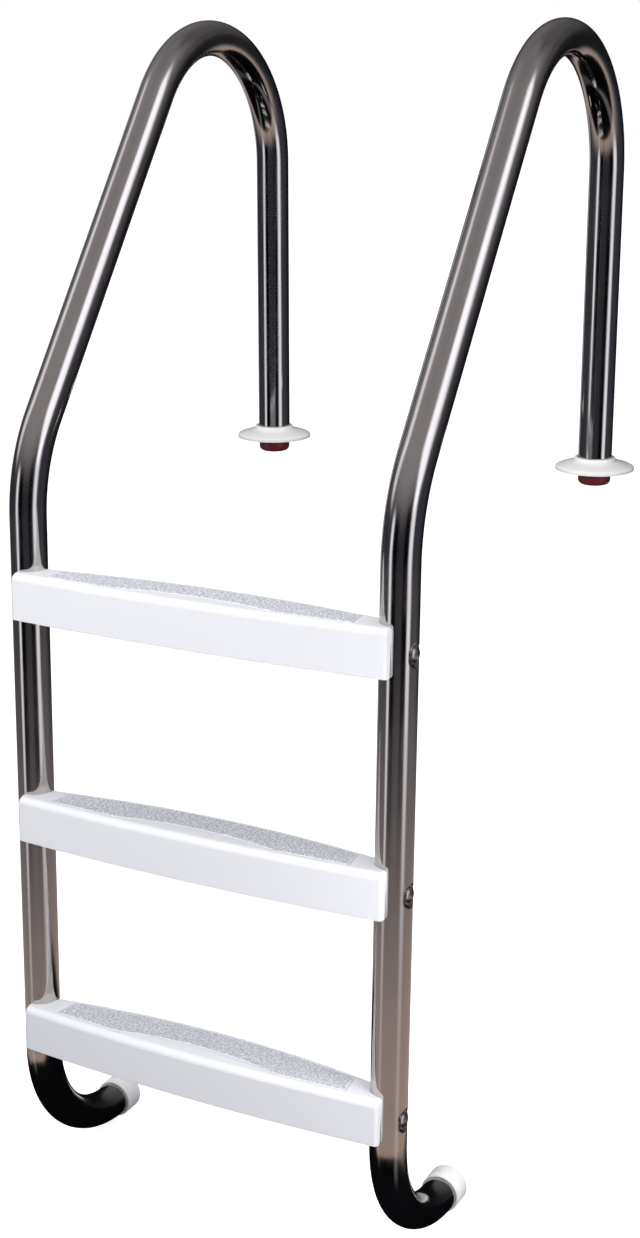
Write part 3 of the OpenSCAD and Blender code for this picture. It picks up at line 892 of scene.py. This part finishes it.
def studio_world(studio):
    """A dark studio round a white ground, which the steel mirrors.

    By height, the room is charcoal at eye level, brown towards the floor and black below. By compass
    direction, it has tall bright panels with black gaps beside them. The plastics are lit evenly, and more
    from above."""
    world = bpy.data.worlds.new("studio")
    world.use_nodes = True
    bpy.context.scene.world = world
    tree = world.node_tree
    tree.nodes.clear()
    ray = add_node(tree, "ShaderNodeLightPath")
    way = add_node(tree, "ShaderNodeTexCoord").outputs["Generated"]
    up = add_node(tree, "ShaderNodeSeparateXYZ", links={0: way}).outputs[2]
    height = add_node(tree, "ShaderNodeMapRange", {"From Min": -1.0, "From Max": 1.0}, {"Value": up})
    room = add_node(tree, "ShaderNodeValToRGB", links={0: height.outputs[0]}, stops=ROOM)
    # The compass is the angle whose sides lie along the camera's right and towards the camera
    right = (math.cos(studio.azimuth), math.sin(studio.azimuth), 0.0)
    towards = (math.sin(studio.azimuth), -math.cos(studio.azimuth), 0.0)
    sides = {}
    for number, direction in enumerate((right, towards)):
        side = add_node(tree, "ShaderNodeVectorMath", {"operation": "DOT_PRODUCT", 1: direction}, {0: way})
        sides[number] = side.outputs["Value"]
    compass = add_node(tree, "ShaderNodeMath", {"operation": "ARCTAN2"}, sides)
    full_turn = {"From Min": -math.pi, "From Max": math.pi}
    turn = add_node(tree, "ShaderNodeMapRange", full_turn, {"Value": compass.outputs[0]})

    def standing(shares, window):
        """The share of light by compass, and the window over height that it holds in."""
        opens, open_at, closes_at, closed, least = window
        stops = [(degrees / 360 + 0.5, share) for degrees, share in shares]
        around = add_node(tree, "ShaderNodeValToRGB", links={0: turn.outputs[0]}, stops=stops)
        edges = {}
        for number, (first, second, smallest) in enumerate(
            ((opens, open_at, least), (closed, closes_at, 0.0))
        ):
            settings = {"interpolation_type": "SMOOTHSTEP", "To Min": smallest}
            settings["From Min"] = math.sin(math.radians(first))
            settings["From Max"] = math.sin(math.radians(second))
            edges[number] = add_node(tree, "ShaderNodeMapRange", settings, {"Value": up}).outputs[0]
        tall = add_node(tree, "ShaderNodeMath", {"operation": "MULTIPLY"}, edges)
        return around.outputs[0], tall.outputs[0]

    # Black gaps stand between the panels at eye level, and higher up only the side behind the ladder is dark.
    # Inside its window each leaves its share of the light, and outside it leaves it all
    dimmed = {}
    for number, gap in enumerate((GAPS, FAR_SIDE)):
        around, tall = standing(*gap)
        lost = add_node(tree, "ShaderNodeMath", {"operation": "SUBTRACT", 1: 1.0}, {0: around}).outputs[0]
        left = add_node(tree, "ShaderNodeMath", {"operation": "MULTIPLY_ADD", 2: 1.0}, {0: lost, 1: tall})
        dimmed[number] = left.outputs[0]
    dim = add_node(tree, "ShaderNodeMath", {"operation": "MULTIPLY"}, dimmed)
    # The panels glow inside their windows, and the high ones glow more
    high_gain, strength = 1.2, 1.4
    glows = []
    for panels in (LOW_PANELS, HIGH_PANELS):
        around, tall = standing(*panels)
        lamp = add_node(tree, "ShaderNodeMath", {"operation": "MULTIPLY"}, {0: around, 1: tall})
        glows.append(lamp.outputs[0])
    low, high = glows
    glow = add_node(tree, "ShaderNodeMath", {"operation": "MULTIPLY_ADD", 1: high_gain}, {0: high, 2: low})
    glow = add_node(tree, "ShaderNodeMath", {"operation": "MULTIPLY", 1: strength}, {0: glow.outputs[0]})
    cool_white = {"Color": (*linear("#eceefa"), 1)}
    bright = add_node(tree, "ShaderNodeBackground", cool_white, {"Strength": glow.outputs[0]})
    dimmed_room = {"Color": room.outputs[0], "Strength": dim.outputs[0]}
    dark = add_node(tree, "ShaderNodeBackground", links=dimmed_room)
    mirrored = add_node(tree, "ShaderNodeAddShader", links={0: bright.outputs[0], 1: dark.outputs[0]})
    # What lights the plastics: more from above than from below
    from_above = {"From Min": -1.0, "From Max": 1.0, "To Min": 0.04, "To Max": 0.56}
    above = add_node(tree, "ShaderNodeMapRange", from_above, {"Value": up})
    daylight = {"Color": (*linear("#f6f7ff"), 1)}
    soft = add_node(tree, "ShaderNodeBackground", daylight, {"Strength": above.outputs[0]})
    ground = add_node(tree, "ShaderNodeBackground", {"Color": (*studio.backdrop, 1), "Strength": 1.0})
    by_mirror = {0: ray.outputs["Is Glossy Ray"], 1: soft.outputs[0], 2: mirrored.outputs[0]}
    lit = add_node(tree, "ShaderNodeMixShader", links=by_mirror)
    by_camera = {0: ray.outputs["Is Camera Ray"], 1: lit.outputs[0], 2: ground.outputs[0]}
    seen = add_node(tree, "ShaderNodeMixShader", links=by_camera)
    add_node(tree, "ShaderNodeOutputWorld", links={0: seen.outputs[0]})


def stage_sheet(name, low, high, z, material):
    """A flat rectangle of the stage from one corner (x, y) to the other, which soft light passes by."""
    mesh = bpy.data.meshes.new(name)
    corners = [(low[0], low[1], z), (high[0], low[1], z), (high[0], high[1], z), (low[0], high[1], z)]
    mesh.from_pydata(corners, [], [(0, 1, 2, 3)])
    mesh.materials.append(material)
    sheet = bpy.data.objects.new(name, mesh)
    sheet.visible_diffuse = False
    bpy.context.scene.collection.objects.link(sheet)
    return sheet


def dark_reflection_sheet(low, high):
    """A black sheet with no gloss, seen only in the steel's reflections, where it paints the hooks dark. It
    fades out by transparency towards its oval edge, so that its mirror image has no hard border."""
    material, tree, shader = new_material(
        "painted_dark_reflection", {"Base Color": (*linear("#0c0e10"), 1), "Roughness": 1.0, "IOR": 1.0}
    )
    half = [(high[i] - low[i]) / 2 for i in (0, 1)]
    middle = [-(low[i] + high[i]) / 2 / half[i] for i in (0, 1)]
    place = add_node(tree, "ShaderNodeTexCoord").outputs["Object"]
    to_unit = {"Location": (*middle, 0), "Scale": (1 / half[0], 1 / half[1], 0)}
    oval = add_node(tree, "ShaderNodeMapping", to_unit, {"Vector": place})
    outward = add_node(tree, "ShaderNodeVectorMath", {"operation": "LENGTH"}, {0: oval.outputs[0]})
    fading = {"interpolation_type": "SMOOTHSTEP", "From Min": 0.75, "To Min": 1.0, "To Max": 0.0}
    fade_out = add_node(tree, "ShaderNodeMapRange", fading, {"Value": outward.outputs["Value"]})
    tree.links.new(fade_out.outputs[0], shader.inputs["Alpha"])
    return material


class LADDER_OT_stage(bpy.types.Operator):
    """Makes the floor, the lights and the camera"""

    bl_idname = "ladder.stage"
    bl_label = "Set the stage"

    def execute(self, context):
        studio = context.scene.ladder_studio
        context.scene.view_settings.view_transform = "Standard"
        # Matt white paper, lit from beneath enough to stay white
        paper, _, _ = new_material(
            "white_paper_floor",
            {
                "Base Color": (*studio.backdrop, 1),
                "Roughness": 0.9,
                "Emission Color": (*studio.backdrop, 1),
                "Emission Strength": 0.8,
            },
        )
        reach = 30.0
        floor = stage_sheet("floor", (-reach, -reach), (reach, reach), cad_low.z - 2 * MM, paper)
        floor.visible_glossy = False
        # A black sheet under the hooks that only their steel mirrors: a painted dark reflection on the hooks
        low, high = (-0.72, -0.99), (0.58, -0.08)
        mat = stage_sheet("dark_reflection_mat", low, high, cad_low.z - 1 * MM, dark_reflection_sheet(low, high))
        mat.visible_camera = False
        mat.visible_shadow = False
        studio_world(studio)
        middle = (cad_low + cad_high) / 2
        studio_light("key", place=(-0.5, -2.2, 0.75), aim=(0, -0.65, -0.2), size=0.7, power=23)
        studio_light("overhead", place=(0.1, -0.6, 2.3), aim=middle, size=1.2, power=21)
        studio_light("side_fill", place=(1.0, -0.9, -0.3), aim=(0.27, -0.49, -0.9), size=0.5, power=7)

        # From the aim back to the camera
        aside, ahead, level = math.sin(studio.azimuth), math.cos(studio.azimuth), math.cos(studio.pitch)
        back = Vector((aside * level, -ahead * level, math.sin(studio.pitch)))
        lens = bpy.data.cameras.new("camera")
        lens.sensor_width = 36.0
        lens.lens = studio.lens
        camera = bpy.data.objects.new("camera", lens)
        camera.location = Vector(studio.aim) + back * studio.distance
        camera.rotation_euler = (-back).to_track_quat("-Z", "Y").to_euler()
        context.scene.collection.objects.link(camera)
        context.scene.camera = camera
        return {"FINISHED"}


class LADDER_PT_panel(bpy.types.Panel):
    """The ladder's steps, in the order in which they are made"""

    bl_idname = "LADDER_PT_panel"
    bl_label = "Pool ladder"
    bl_space_type = "VIEW_3D"
    bl_region_type = "UI"
    bl_category = "Pool ladder"

    def draw(self, context):
        for operator in OPERATORS:
            self.layout.operator(operator.bl_idname)


OPERATORS = (
    LADDER_OT_rails,
    LADDER_OT_treads,
    LADDER_OT_flanges,
    LADDER_OT_bumpers,
    LADDER_OT_plugs,
    LADDER_OT_fasteners,
    LADDER_OT_stage,
)
GROUPS = {
    "ladder_rail": LadderRailSizes,
    "ladder_tread": LadderTreadSizes,
    "ladder_finish": LadderFinish,
    "ladder_studio": LadderStudio,
}


def register():
    """Registers the properties, the operators and the panel."""
    for cls in (*GROUPS.values(), *OPERATORS, LADDER_PT_panel):
        bpy.utils.register_class(cls)
    for name, group in GROUPS.items():
        setattr(bpy.types.Scene, name, bpy.props.PointerProperty(type=group))


def unregister():
    """Takes them away again."""
    for name in GROUPS:
        delattr(bpy.types.Scene, name)
    for cls in reversed((*GROUPS.values(), *OPERATORS, LADDER_PT_panel)):
        bpy.utils.unregister_class(cls)


def main():
    """Makes every piece and the stage."""
    register()
    bpy.ops.ladder.rails()
    bpy.ops.ladder.treads()
    bpy.ops.ladder.flanges()
    bpy.ops.ladder.bumpers()
    bpy.ops.ladder.plugs()
    bpy.ops.ladder.fasteners()
    bpy.ops.ladder.stage()


if __name__ == "__main__":
    main()
